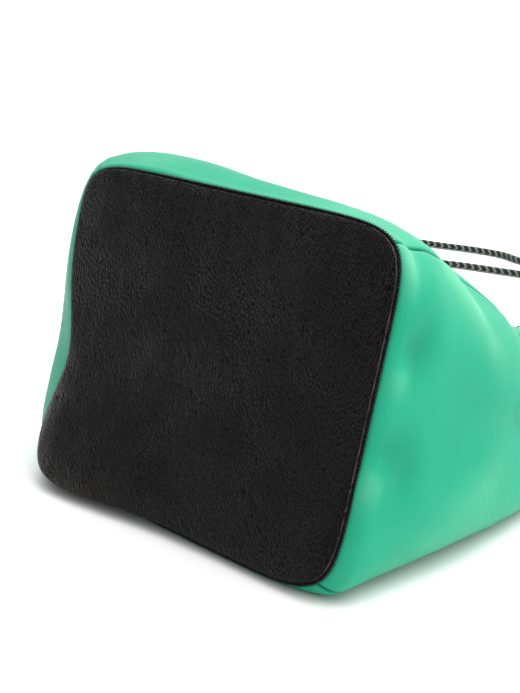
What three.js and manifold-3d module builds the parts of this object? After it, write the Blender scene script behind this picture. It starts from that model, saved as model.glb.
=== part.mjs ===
// A drawstring bucket bag that lies on its side: base towards -Y, mouth towards +Y, floor at z = 0.
// Four leather panels rise from a near-square base and are gathered by a cord through eyelets near the rim.
// Units are millimetres, +Z is up.

import * as THREE from 'three';
import Module from 'manifold-3d';
import { mergeVertices } from 'three/addons/utils/BufferGeometryUtils.js';

// ---- Driving dimensions ----

const GAP = 0.3; // clearance between touching pieces
const LEATHER = 1.8; // panel and facing leather
const LINING = 1.0;
const LINING_SLACK = 1.6; // between the lining and the panels
const BOARD = 2.0; // base stiffener
const BOARD_INSET = 3;
const CORD = 6.2; // braided cord, across
const FOLDS = 4; // gathers round the mouth, one crest at each corner seam
const SIDE_FOLD = 0.5; // depth of the gathers at the middle of the narrow sides, as a share of the wide ones

// The bag's middle in its own frame, so that the finished group stands centred on the origin.
const CENTRE_X = -10.681;
const CENTRE_Y = 150.288;

// Sections of the body from the base (v = 0) to the rim (v = 1). y is the section's middle, low its lowest line
// above the floor and high its height. The half-widths are right and left, at the floor and at the top. lean tilts
// the section backwards, in degrees; squareTop and squareLow are superellipse powers; drop lowers the right
// side of the top and raises the left; fold is how far the gathers stand in and out.
const SECTIONS = [
  { v: 0.0, y: 26.7, low: 1.5, high: 196.5, lowRight: 131, lowLeft: 124, topRight: 131, topLeft: 135,
    lean: 16, squareTop: 8.4, squareLow: 7.5, drop: 0, fold: 0 },
  { v: 0.03, y: 34, low: -1, high: 200, lowRight: 139.5, lowLeft: 140, topRight: 136, topLeft: 147,
    lean: 16, squareTop: 6.4, squareLow: 8.5, drop: 3, fold: 0 },
  { v: 0.08, y: 49, low: -1, high: 201, lowRight: 142.5, lowLeft: 156, topRight: 138, topLeft: 160,
    lean: 15.5, squareTop: 5.2, squareLow: 7.5, drop: 6.5, fold: 0 },
  { v: 0.18, y: 76, low: -1, high: 193, lowRight: 146.5, lowLeft: 168, topRight: 137, topLeft: 163,
    lean: 15, squareTop: 4, squareLow: 6.6, drop: 11.5, fold: 0 },
  { v: 0.3, y: 104, low: -1, high: 176, lowRight: 148, lowLeft: 164, topRight: 137, topLeft: 153,
    lean: 14, squareTop: 3.6, squareLow: 6, drop: 12.5, fold: 1 },
  { v: 0.46, y: 143, low: -1, high: 147.5, lowRight: 145.5, lowLeft: 148, topRight: 132, topLeft: 132,
    lean: 11, squareTop: 3.4, squareLow: 5.4, drop: 10, fold: 3 },
  { v: 0.64, y: 188, low: 0, high: 112, lowRight: 138.5, lowLeft: 134, topRight: 116, topLeft: 110,
    lean: 7, squareTop: 3, squareLow: 4.6, drop: 6, fold: 7 },
  { v: 0.8, y: 234, low: 4, high: 83, lowRight: 126, lowLeft: 121, topRight: 97, topLeft: 95,
    lean: 3, squareTop: 2.6, squareLow: 3.5, drop: 2, fold: 13 },
  { v: 0.91, y: 270, low: 10, high: 62, lowRight: 112, lowLeft: 109, topRight: 90, topLeft: 90,
    lean: 0, squareTop: 2.4, squareLow: 2.6, drop: 0, fold: 20 },
  { v: 1.0, y: 300, low: 12, high: 62, lowRight: 116, lowLeft: 113, topRight: 97, topLeft: 97,
    lean: -4, squareTop: 2.3, squareLow: 2.4, drop: 0, fold: 23 },
];

// The left side of the base is pushed in a little, by DENT at DENT_HEIGHT above its lower edge.
const DENT = 14;
const DENT_HEIGHT = 78;
const DENT_SPREAD = 36;
const DENT_DEPTH = 0.06; // how far along the bag it reaches, as a share of v

// Rows and columns of the plain shells.
const ROWS = [0, 0.03, 0.08, 0.18, 0.3, 0.42, 0.54, 0.66, 0.75, 0.82, 0.87, 0.91, 0.955, 1];
const SIDE_STEPS = 18;
const LINING_STEPS = 10;
const SEAM = 0.002; // half of the gap between two panels, as a share of a side

const DRAW_LINE = 0.91; // v of the drawstring's eyelets
const FACING_START = 0.87;
const LINING_END = 0.865;
const STRAP_LINE = 0.82; // v of the shoulder cord's eyelets
const EYELET_TURN = 0.2929; // share of a side from its corner to an eyelet, where a gather crosses its middle

const EYELET = { bore: 5.7, barrel: 6.6, flange: 10, hole: 7.1 };
const OUTER_FLANGE = [1, 2]; // offsets from the leather's outer face
const INNER_FLANGE = [-6, -5];
const EYELET_SIDES = 10;

const BOTTOM = 0;
const RIGHT = 1;
const TOP = 2;
const LEFT = 3;

// ---- Materials ----

const green = new THREE.MeshStandardMaterial({ color: 0x40ba90, roughness: 0.5, metalness: 0 });
const black = new THREE.MeshStandardMaterial({ color: 0x1c1c1e, roughness: 0.45, metalness: 0 });
const boardGrey = new THREE.MeshStandardMaterial({ color: 0x6b655c, roughness: 0.9, metalness: 0 });
const liningCloth = new THREE.MeshStandardMaterial({ color: 0x24262a, roughness: 0.95, metalness: 0 });
const gunmetal = new THREE.MeshStandardMaterial({ color: 0x3a3a3c, roughness: 0.3, metalness: 1 });
const braid = new THREE.MeshStandardMaterial({ color: 0x232b25, roughness: 0.85, metalness: 0 });

// ---- Body surface ----

const rad = THREE.MathUtils.degToRad;

// Monotone cubic through the sections, one field at a time.
function sectionSlope(field, i) {
  const steps = [i, i + 1].map((k) => {
    const [a, b] = [SECTIONS[k - 1], SECTIONS[k]];
    return a && b ? { h: b.v - a.v, d: (b[field] - a[field]) / (b.v - a.v) } : null;
  });
  const [before, after] = steps;
  if (!before) return after.d;
  if (!after) return before.d;
  if (before.d * after.d <= 0) return 0;
  const w1 = 2 * after.h + before.h;
  const w2 = after.h + 2 * before.h;
  return (w1 + w2) / (w1 / before.d + w2 / after.d);
}

const FIELDS = Object.keys(SECTIONS[0]).filter((name) => name !== 'v');
const SLOPES = SECTIONS.map((_, i) => Object.fromEntries(FIELDS.map((f) => [f, sectionSlope(f, i)])));

function sectionAt(v) {
  const last = SECTIONS.length - 2;
  const found = SECTIONS.findIndex((section, i) => i <= last && v <= SECTIONS[i + 1].v);
  const i = found < 0 ? last : found;
  const [a, b] = [SECTIONS[i], SECTIONS[i + 1]];
  const h = b.v - a.v;
  const t = (v - a.v) / h;
  const section = {};
  for (const f of FIELDS) {
    section[f] = (1 + 2 * t) * (1 - t) ** 2 * a[f] + t * (1 - t) ** 2 * h * SLOPES[i][f]
      + t * t * (3 - 2 * t) * b[f] + t * t * (t - 1) * h * SLOPES[i + 1][f];
  }
  return section;
}

// The point at s round the body (a whole number at each corner seam, from the lower left one by way of the floor)
// and v along it, moved out by off within its section. Gathers are left out where folded is false.
function sectionPoint(s, v, off = 0, folded = true) {
  const g = sectionAt(v);
  const side = ((Math.floor(s) % 4) + 4) % 4;
  const t = 2 * (s - Math.floor(s)) - 1;
  const [qx, qz] = [[t, -1], [1, t], [-t, 1], [-1, -t]][side];
  const power = qz > 0 ? g.squareTop : g.squareLow;
  const norm = (Math.abs(qx) ** power + Math.abs(qz) ** power) ** (1 / power);
  const [cx, cz] = [qx / norm, qz / norm];
  const halfHigh = g.high / 2;
  const up = (cz + 1) / 2;
  const halfWide = cx > 0
    ? THREE.MathUtils.lerp(g.lowRight, g.topRight, up)
    : THREE.MathUtils.lerp(g.lowLeft, g.topLeft, up);
  const nx = (Math.sign(cx) * Math.abs(cx) ** (power - 1)) / halfWide;
  const nz = (Math.sign(cz) * Math.abs(cz) ** (power - 1)) / halfHigh;
  const length = Math.hypot(nx, nz);
  const turn = Math.atan2(cz, cx) - Math.PI / 2;
  const fold = g.fold * THREE.MathUtils.lerp(SIDE_FOLD, 1, cz * cz);
  const out = off - (folded ? fold * Math.cos(FOLDS * turn) : 0);
  const h = halfHigh * (1 + cz) + (out * nz) / length;
  const dent = DENT * Math.exp(-(((h - DENT_HEIGHT) / DENT_SPREAD) ** 2)) * Math.max(-cx, 0) ** 6
    * Math.exp(-((v / DENT_DEPTH) ** 2));
  const x = halfWide * cx + (out * nx) / length + dent;
  const lean = rad(g.lean);
  const z = g.low + h * Math.cos(lean) - g.drop * cx * up;
  return new THREE.Vector3(x, g.y + (h - halfHigh) * Math.sin(lean), Math.max(z, 0));
}

// Unit vectors along s and v, and the wall's outward normal.
const STEP = 2e-3;

function wallAxes(s, v) {
  const [low, high] = [Math.max(v - STEP, 0), Math.min(v + STEP, 1)];
  const alongS = sectionPoint(s + STEP, v).sub(sectionPoint(s - STEP, v)).divideScalar(2 * STEP);
  const alongV = sectionPoint(s, high).sub(sectionPoint(s, low)).divideScalar(high - low);
  return { alongS, alongV, normal: alongV.clone().cross(alongS).normalize() };
}

// The point of the wall at (s, v), off its outer face by off, square to the wall.
function bodyPoint(s, v, off = 0) {
  const point = sectionPoint(s, v);
  return off === 0 ? point : point.addScaledVector(wallAxes(s, v).normal, off);
}

// ---- Shells ----

function closedGeometry(points, triangles) {
  const geometry = new THREE.BufferGeometry();
  geometry.setAttribute('position', new THREE.Float32BufferAttribute(points.flatMap((p) => p.toArray()), 3));
  geometry.setIndex(triangles);
  const merged = mergeVertices(geometry, 1e-4);
  const index = merged.index.array;
  const kept = [];
  let volume = 0;
  const [a, b, c] = [new THREE.Vector3(), new THREE.Vector3(), new THREE.Vector3()];
  for (let i = 0; i < index.length; i += 3) {
    const [p, q, r] = [index[i], index[i + 1], index[i + 2]];
    if (p === q || q === r || r === p) continue;
    kept.push([p, q, r]);
    a.fromBufferAttribute(merged.attributes.position, p);
    b.fromBufferAttribute(merged.attributes.position, q);
    c.fromBufferAttribute(merged.attributes.position, r);
    volume += a.dot(b.cross(c));
  }
  merged.setIndex(kept.flatMap(([p, q, r]) => (volume > 0 ? [p, q, r] : [p, r, q])));
  merged.computeVertexNormals();
  return merged;
}

// A closed shell between two grids of points, outer[row][column] and inner[row][column]. Its columns close on
// themselves where round is true; a first row that is one point needs no border.
function shell(outer, inner, round) {
  const rows = outer.length;
  const columns = outer[0].length;
  const points = [...outer.flat(), ...inner.flat()];
  const triangles = [];
  const quad = (a, b, c, d) => triangles.push(a, b, c, a, c, d);
  const at = (layer, row, column) => layer * rows * columns + row * columns + (column % columns);
  const spans = round ? columns : columns - 1;
  for (let i = 0; i < rows - 1; i += 1) {
    for (let j = 0; j < spans; j += 1) {
      quad(at(0, i, j), at(0, i, j + 1), at(0, i + 1, j + 1), at(0, i + 1, j));
      quad(at(1, i, j), at(1, i + 1, j), at(1, i + 1, j + 1), at(1, i, j + 1));
    }
  }
  const startsAtPoint = outer[0][0].distanceTo(outer[0][1]) < 1e-6;
  for (let j = 0; j < spans; j += 1) {
    if (!startsAtPoint) quad(at(0, 0, j), at(1, 0, j), at(1, 0, j + 1), at(0, 0, j + 1));
    quad(at(0, rows - 1, j), at(0, rows - 1, j + 1), at(1, rows - 1, j + 1), at(1, rows - 1, j));
  }
  if (!round) {
    for (let i = 0; i < rows - 1; i += 1) {
      quad(at(0, i, 0), at(0, i + 1, 0), at(1, i + 1, 0), at(1, i, 0));
      quad(at(0, i, columns - 1), at(1, i, columns - 1), at(1, i + 1, columns - 1), at(0, i + 1, columns - 1));
    }
  }
  return closedGeometry(points, triangles);
}

const ring = (v, off, place = bodyPoint, steps = SIDE_STEPS) => Array.from(
  { length: 4 * steps },
  (_, j) => place(j / steps, v, off),
);

function panelGeometry(side) {
  const columns = Array.from({ length: SIDE_STEPS + 1 }, (_, j) => side
    + THREE.MathUtils.clamp(j / SIDE_STEPS, SEAM, 1 - SEAM));
  const grid = (off) => ROWS.map((v) => columns.map((s) => bodyPoint(Math.min(s, side + 1 - SEAM), v, off)));
  return shell(grid(0), grid(-LEATHER), false);
}

// The flat plane of the base: its outward normal, and a ring moved off that plane.
const BASE_LEAN = rad(SECTIONS[0].lean);
const BASE_NORMAL = new THREE.Vector3(0, -Math.cos(BASE_LEAN), Math.sin(BASE_LEAN));

function basePlate(outlineOffset, from, thickness) {
  const layer = (depth) => {
    const outline = ring(0, outlineOffset, sectionPoint).map((p) => p.addScaledVector(BASE_NORMAL, depth));
    const middle = outline.reduce((sum, p) => sum.add(p), new THREE.Vector3()).divideScalar(outline.length);
    return [outline.map(() => middle.clone()), outline];
  };
  return shell(layer(from + thickness), layer(from), true);
}

function liningGeometry() {
  const outerOffset = -(LEATHER + LINING_SLACK);
  const innerOffset = outerOffset - LINING;
  const sack = (off, bottomV) => {
    const rows = [bottomV, ...ROWS.filter((v) => v > bottomV && v < FACING_START), LINING_END]
      .map((v) => ring(v, off, bodyPoint, LINING_STEPS));
    const middle = rows[0].reduce((sum, p) => sum.add(p), new THREE.Vector3()).divideScalar(rows[0].length);
    return [rows[0].map(() => middle.clone()), ...rows];
  };
  return shell(sack(outerOffset, 0.0095), sack(innerOffset, 0.0135), true);
}

function facingGeometry() {
  const rows = [FACING_START, DRAW_LINE, 0.955, 0.995];
  const outerOffset = -(LEATHER + GAP);
  const grid = (off) => rows.map((v) => ring(v, off));
  return shell(grid(outerOffset), grid(outerOffset - LEATHER), true);
}

// ---- Eyelets ----

// Maps a distance and a direction on the wall, and an offset from its outer face, to a point near (s, v).
function wallPatch(s, v) {
  const { alongS, alongV, normal } = wallAxes(s, v);
  const e1 = alongS.clone().normalize();
  const e2 = normal.clone().cross(e1);
  return {
    centre: bodyPoint(s, v, -(LEATHER + GAP / 2)),
    normal,
    point(distance, angle, off) {
      const dv = (distance * Math.sin(angle)) / alongV.dot(e2);
      const ds = (distance * Math.cos(angle) - dv * alongV.dot(e1)) / alongS.length();
      return bodyPoint(s + ds, v + dv, off);
    },
  };
}

// A body of revolution that follows the wall: profile is a list of [distance, offset]. Where closed is false its
// first and last points are on the axis.
function wallRevolve(patch, profile, closed) {
  const loop = closed ? [...profile, profile[0]] : profile;
  const turns = Array.from({ length: EYELET_SIDES }, (_, i) => (2 * Math.PI * i) / EYELET_SIDES);
  const points = loop.flatMap(([distance, off]) => turns.map((angle) => patch.point(distance, angle, off)));
  const triangles = [];
  for (let i = 0; i < loop.length - 1; i += 1) {
    for (let j = 0; j < EYELET_SIDES; j += 1) {
      const k = (j + 1) % EYELET_SIDES;
      const [a, b] = [i * EYELET_SIDES + j, i * EYELET_SIDES + k];
      triangles.push(a, b, b + EYELET_SIDES, a, b + EYELET_SIDES, a + EYELET_SIDES);
    }
  }
  return closedGeometry(points, triangles);
}

function eyeletGeometry(patch) {
  const { bore, barrel, flange } = EYELET;
  return wallRevolve(patch, [
    [bore, INNER_FLANGE[0]], [bore, OUTER_FLANGE[1]], [flange, OUTER_FLANGE[1]], [flange, OUTER_FLANGE[0]],
    [barrel, OUTER_FLANGE[0]], [barrel, INNER_FLANGE[1]], [flange, INNER_FLANGE[1]], [flange, INNER_FLANGE[0]],
  ], true);
}

const punchGeometry = (patch) => wallRevolve(patch, [[0, 4], [EYELET.hole, 4], [EYELET.hole, -8], [0, -8]], false);

// s of the eight drawstring eyelets, in the order in which the cord meets them from the top's right one.
const DRAW_EYELETS = [TOP, RIGHT, BOTTOM, LEFT].flatMap((side) => (side === TOP
  ? [side + EYELET_TURN]
  : [side + 1 - EYELET_TURN, side + EYELET_TURN])).concat(TOP + 1 - EYELET_TURN);
const drawPatches = DRAW_EYELETS.map((s) => wallPatch(s, DRAW_LINE));
const strapPatches = { right: wallPatch(RIGHT + 0.5, STRAP_LINE), left: wallPatch(LEFT + 0.5, STRAP_LINE) };

// ---- Cutting the eyelet holes ----

const wasm = await Module();
wasm.setup();

function toManifold(geometry) {
  const bare = geometry.clone();
  bare.deleteAttribute('normal');
  const welded = mergeVertices(bare, 1e-4);
  return new wasm.Manifold(new wasm.Mesh({
    numProp: 3,
    vertProperties: new Float32Array(welded.attributes.position.array),
    triVerts: new Uint32Array(welded.index.array),
  }));
}

function punched(geometry, patches) {
  let solid = toManifold(geometry);
  for (const patch of patches) solid = solid.subtract(toManifold(punchGeometry(patch)));
  const mesh = solid.getMesh();
  const cut = new THREE.BufferGeometry();
  cut.setAttribute('position', new THREE.BufferAttribute(mesh.vertProperties, 3));
  cut.setIndex(new THREE.BufferAttribute(mesh.triVerts, 1));
  cut.computeVertexNormals();
  return cut;
}

// ---- Cords ----

function tube(points, steps, sides) {
  const curve = new THREE.CatmullRomCurve3(points, false, 'centripetal');
  const section = new THREE.Shape();
  for (let i = 0; i < sides; i += 1) {
    const angle = (2 * Math.PI * i) / sides;
    const [x, y] = [(CORD / 2) * Math.cos(angle), (CORD / 2) * Math.sin(angle)];
    if (i === 0) section.moveTo(x, y);
    else section.lineTo(x, y);
  }
  section.closePath();
  return new THREE.ExtrudeGeometry(section, { steps, extrudePath: curve });
}

// The two tails of the drawstring run straight up the valley in the top panel, side by side, through the lock.
const TAIL_START = new THREE.Vector3(0, 265, 70);
const TAIL_SLOPE = rad(33);
const TAIL_APART = 5.2; // half of the distance between the two
const TAIL_STRAIGHT = 58;
const TAIL_END = 74;
const TAIL_SPREAD = 9.6;
const TAIL_WAY = new THREE.Vector3(0, -Math.cos(TAIL_SLOPE), Math.sin(TAIL_SLOPE));
const tailPoint = (x, along) => TAIL_START.clone().addScaledVector(TAIL_WAY, along).setX(x);

const tailPoints = (hand) => [
  tailPoint(hand * TAIL_SPREAD, TAIL_END),
  tailPoint(hand * TAIL_SPREAD * 0.92, TAIL_END - 7),
  ...[TAIL_STRAIGHT, TAIL_STRAIGHT - 6, TAIL_STRAIGHT / 2, 6, 0].map((along) => tailPoint(hand * TAIL_APART, along)),
];

// The cord lies outside the valleys and inside the crests, and goes through each eyelet along its axis.
const THROUGH_OUT = 9;
const THROUGH_IN = 11;
const VALLEY_RISE = 3;
const CREST_DEPTH = -6;

function drawCordPoints() {
  const points = tailPoints(1);
  drawPatches.forEach((patch, i) => {
    const out = patch.centre.clone().addScaledVector(patch.normal, THROUGH_OUT);
    const inside = patch.centre.clone().addScaledVector(patch.normal, -THROUGH_IN);
    const entering = i % 2 === 0;
    points.push(...(entering ? [out, patch.centre, inside] : [inside, patch.centre, out]));
    if (i < drawPatches.length - 1) {
      const corner = Math.round(DRAW_EYELETS[i]) % 4;
      const middle = entering
        ? sectionPoint(corner, DRAW_LINE, CREST_DEPTH, false)
        : sectionPoint(Math.floor(DRAW_EYELETS[i]) + 0.5, DRAW_LINE, VALLEY_RISE, false);
      middle.z = Math.max(middle.z, CORD / 2 + 0.4);
      points.push(middle);
    }
  });
  return [...points, ...tailPoints(-1).reverse()];
}

// The shoulder cord leaves the right eyelet, lies on the floor behind the bag, turns back and ends at the left one.
const CORD_FLOOR = CORD / 2 + 0.1;
const STRAP_START = 4.5; // inside the wall, from its middle
const STRAP_OUT = 8;

function shoulderCordPoints() {
  const { right, left } = strapPatches;
  const floor = [
    [141, 330], [140, 370], [122, 440], [82, 512], [22, 574], [-50, 620], [-125, 648], [-190, 660],
    [-240.8, 665.3], [-266.8, 671.7], [-291.5, 669.6], [-313.8, 664.1], [-335.4, 657], [-358.8, 651.5],
    [-388, 641], [-408, 620], [-410, 592], [-392, 570], [-362, 564], [-330, 576], [-303, 591],
    [-279.4, 602], [-267.6, 606.3], [-247.3, 612], [-225.8, 617.5], [-208.7, 621.8],
    [-178, 623], [-146, 610], [-114, 574], [-84, 524], [-66, 474], [-70, 426], [-94, 384], [-124, 352], [-139, 330],
  ].map(([x, y]) => new THREE.Vector3(x, y, CORD_FLOOR));
  const leave = (patch, hand) => [
    patch.centre.clone().addScaledVector(patch.normal, -STRAP_START),
    patch.centre.clone().addScaledVector(patch.normal, STRAP_OUT * 0.5),
    patch.centre.clone().addScaledVector(patch.normal, STRAP_OUT),
    patch.centre.clone().addScaledVector(patch.normal, STRAP_OUT * 2).add(new THREE.Vector3(0, 4, -1)),
    new THREE.Vector3(hand * 125, 259, 38),
    new THREE.Vector3(hand * 132, 276, 24),
    new THREE.Vector3(hand * 137, 294, 11),
    new THREE.Vector3(hand * 140, 310, 4.7),
  ];
  return [...leave(right, 1), ...floor, ...leave(left, -1).reverse()];
}

// ---- Cord lock ----

const LOCK = { wide: 27, thick: 12, long: 16, bore: 3.55, corner: 5, from: 10 };

function lockGeometry() {
  const shape = new THREE.Shape();
  const [w, t, r] = [LOCK.wide / 2, LOCK.thick / 2, LOCK.corner];
  shape.moveTo(-w + r, -t);
  shape.lineTo(w - r, -t);
  shape.absarc(w - r, -t + r, r, -Math.PI / 2, 0);
  shape.lineTo(w, t - r);
  shape.absarc(w - r, t - r, r, 0, Math.PI / 2);
  shape.lineTo(-w + r, t);
  shape.absarc(-w + r, t - r, r, Math.PI / 2, Math.PI);
  shape.lineTo(-w, -t + r);
  shape.absarc(-w + r, -t + r, r, Math.PI, 1.5 * Math.PI);
  for (const x of [-TAIL_APART, TAIL_APART]) {
    const bore = new THREE.Path();
    bore.absarc(x, 0, LOCK.bore, 0, 2 * Math.PI, true);
    shape.holes.push(bore);
  }
  return new THREE.ExtrudeGeometry(shape, { depth: LOCK.long, bevelEnabled: false, curveSegments: 5 });
}

// ---- Assembly ----

const bag = new THREE.Group();
bag.position.set(-CENTRE_X, -CENTRE_Y, 0);

function add(name, geometry, material) {
  const mesh = new THREE.Mesh(geometry, material);
  mesh.name = name;
  bag.add(mesh);
  return mesh;
}

add('base_panel', basePlate(0, GAP, LEATHER), black);
add('base_board', basePlate(-BOARD_INSET, -BOARD, BOARD), boardGrey);
add('lining', punched(liningGeometry(), Object.values(strapPatches)), liningCloth);

const onSide = (side) => drawPatches.filter((_, i) => Math.floor(DRAW_EYELETS[i]) === side);
add('bottom_panel', punched(panelGeometry(BOTTOM), onSide(BOTTOM)), green);
add('top_panel', punched(panelGeometry(TOP), onSide(TOP)), green);
add('right_panel', punched(panelGeometry(RIGHT), [...onSide(RIGHT), strapPatches.right]), green);
add('left_panel', punched(panelGeometry(LEFT), [...onSide(LEFT), strapPatches.left]), green);
add('mouth_facing', punched(facingGeometry(), drawPatches), green);

drawPatches.forEach((patch, i) => add(`draw_eyelet_${i + 1}`, eyeletGeometry(patch), gunmetal));
for (const [hand, patch] of Object.entries(strapPatches)) {
  add(`strap_eyelet_${hand}`, eyeletGeometry(patch), gunmetal);
}

add('draw_cord', tube(drawCordPoints(), 88, 8), braid);
for (const [hand, sign] of [['left', -1], ['right', 1]]) {
  const knot = add(`draw_knot_${hand}`, new THREE.SphereGeometry(6.5, 12, 8), braid);
  knot.position.copy(tailPoint(sign * (TAIL_SPREAD + 1), TAIL_END + GAP + 6.6));
}

const lock = add('cord_lock', lockGeometry(), black);
lock.position.copy(tailPoint(0, LOCK.from));
lock.quaternion.setFromUnitVectors(new THREE.Vector3(0, 0, 1), TAIL_WAY);

add('shoulder_cord', tube(shoulderCordPoints(), 80, 8), braid);
for (const [hand, patch] of Object.entries(strapPatches)) {
  const knot = add(`strap_knot_${hand}`, new THREE.SphereGeometry(7, 12, 8), braid);
  knot.position.copy(patch.centre).addScaledVector(patch.normal, -(STRAP_START + GAP + 7.1));
}

export default bag;
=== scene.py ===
# A drawstring bucket bag that lies on its side on a pale floor: pebbled black base, four green leather
# panels, gathered mouth, braided cords. The shape is worked out in millimetres in the bag's own frame (base
# towards -Y, mouth towards +Y, floor at z = 0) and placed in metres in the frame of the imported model.

import math

import bpy
import numpy as np
from mathutils import Matrix, Vector, noise


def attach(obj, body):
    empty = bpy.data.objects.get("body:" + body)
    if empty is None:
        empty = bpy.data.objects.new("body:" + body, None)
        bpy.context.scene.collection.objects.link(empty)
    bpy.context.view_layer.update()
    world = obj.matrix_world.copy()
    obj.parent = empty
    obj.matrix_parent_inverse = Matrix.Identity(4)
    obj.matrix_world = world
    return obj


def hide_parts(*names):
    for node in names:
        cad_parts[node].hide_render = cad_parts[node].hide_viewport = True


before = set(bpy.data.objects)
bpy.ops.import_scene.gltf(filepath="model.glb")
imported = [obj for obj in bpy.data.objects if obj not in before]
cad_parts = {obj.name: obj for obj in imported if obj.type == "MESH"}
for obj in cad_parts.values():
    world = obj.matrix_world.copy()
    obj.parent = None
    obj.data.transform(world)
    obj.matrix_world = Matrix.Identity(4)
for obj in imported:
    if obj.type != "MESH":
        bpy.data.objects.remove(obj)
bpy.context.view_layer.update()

# ---- Driving dimensions, in millimetres ----

MM = 0.001
CENTRE = np.array([-10.681, 150.288, 0.0])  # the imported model's origin, in the bag's own frame

LEATHER = 1.8
GAP = 0.3  # between pieces that lie against each other
CORD = 6.2
FOLDS = 4  # folds of the gathered mouth, one at the middle of each side
SIDE_FOLD = 0.5  # the folds' depth on the left and right, as a share of their depth on top and bottom
BOTTOM, RIGHT, TOP, LEFT = range(4)

# The body's sections: v, then the fields named in FIELDS, as in the CAD model.
FIELDS = ("y", "low", "high", "low_right", "low_left", "top_right", "top_left", "lean", "square_top",
          "square_low", "drop", "fold")
SECTIONS = np.array([
    (0.00, 26.7, 1.5, 196.5, 131, 124, 131, 135, 16, 8.4, 7.5, 0, 0),
    (0.03, 34, -1, 200, 139.5, 140, 136, 147, 16, 6.4, 8.5, 3, 0),
    (0.08, 49, -1, 201, 142.5, 156, 138, 160, 15.5, 5.2, 7.5, 6.5, 0),
    (0.18, 76, -1, 193, 146.5, 168, 137, 163, 15, 4, 6.6, 11.5, 0),
    (0.30, 104, -1, 176, 148, 164, 137, 153, 14, 3.6, 6, 12.5, 1),
    (0.46, 143, -1, 147.5, 145.5, 148, 132, 132, 11, 3.4, 5.4, 10, 3),
    (0.64, 188, 0, 112, 138.5, 134, 116, 110, 7, 3, 4.6, 6, 7),
    (0.80, 234, 4, 83, 126, 121, 97, 95, 3, 2.6, 3.5, 2, 13),
    (0.91, 270, 10, 62, 112, 109, 90, 90, 0, 2.4, 2.6, 0, 20),
    (1.00, 300, 12, 62, 116, 113, 97, 97, -4, 2.3, 2.4, 0, 23),
])

# The base's left side is pushed in: how far, how high up, over what height, and how far along v it fades.
DENT, DENT_HEIGHT, DENT_SPREAD, DENT_DEPTH = 14, 78, 36, 0.06

# Places along v.
DRAW_LINE = 0.91
FACING_START = 0.87
LINING_END = 0.865
STRAP_LINE = 0.82

EYELET_TURN = 0.2929  # from a corner seam to the nearest eyelet, as a share of a side
EYELET = {"bore": 5.7, "barrel": 6.6, "flange": 10}  # radii

# ---- Camera ----

EYE = (569, -469, 344)
AZIMUTH, PITCH, ROLL = (math.radians(a) for a in (46.3, 17.6, 0.6))
LENS = 72.73


def to_frame(points):
    """Points in the bag's own frame, in millimetres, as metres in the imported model's frame."""
    return (np.asarray(points, float) - CENTRE) * MM


def make_camera():
    data = bpy.data.cameras.new("camera")
    data.lens, data.sensor_width = LENS, 36
    data.clip_start, data.clip_end = 0.01, 60
    camera = bpy.data.objects.new("camera", data)
    bpy.context.scene.collection.objects.link(camera)
    ahead = Vector((-math.sin(AZIMUTH) * math.cos(PITCH), math.cos(AZIMUTH) * math.cos(PITCH),
                    -math.sin(PITCH)))
    level = Vector((math.cos(AZIMUTH), math.sin(AZIMUTH), 0))
    up = level.cross(ahead)
    right = math.cos(ROLL) * level + math.sin(ROLL) * up
    up = right.cross(ahead)
    turn = Matrix((right, up, -ahead)).transposed()
    camera.matrix_world = Matrix.Translation(Vector(to_frame(EYE))) @ turn.to_4x4()
    bpy.context.scene.camera = camera


# ---- Body surface ----

def monotone(v, field):
    """The monotone cubic through the sections' values of one field, at every v."""
    xs, ys = SECTIONS[:, 0], SECTIONS[:, 1 + FIELDS.index(field)]
    h = np.diff(xs)
    d = np.diff(ys) / h
    slopes = np.concatenate(([d[0]], np.zeros(len(h) - 1), [d[-1]]))
    for i in range(1, len(h)):
        if d[i - 1] * d[i] > 0:
            w1, w2 = 2 * h[i] + h[i - 1], h[i] + 2 * h[i - 1]
            slopes[i] = (w1 + w2) / (w1 / d[i - 1] + w2 / d[i])
    i = np.clip(np.searchsorted(xs, v, side="left") - 1, 0, len(h) - 1)
    t = (v - xs[i]) / h[i]
    return ((1 + 2 * t) * (1 - t) ** 2 * ys[i] + t * (1 - t) ** 2 * h[i] * slopes[i]
            + t * t * (3 - 2 * t) * ys[i + 1] + t * t * (t - 1) * h[i] * slopes[i + 1])


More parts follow.
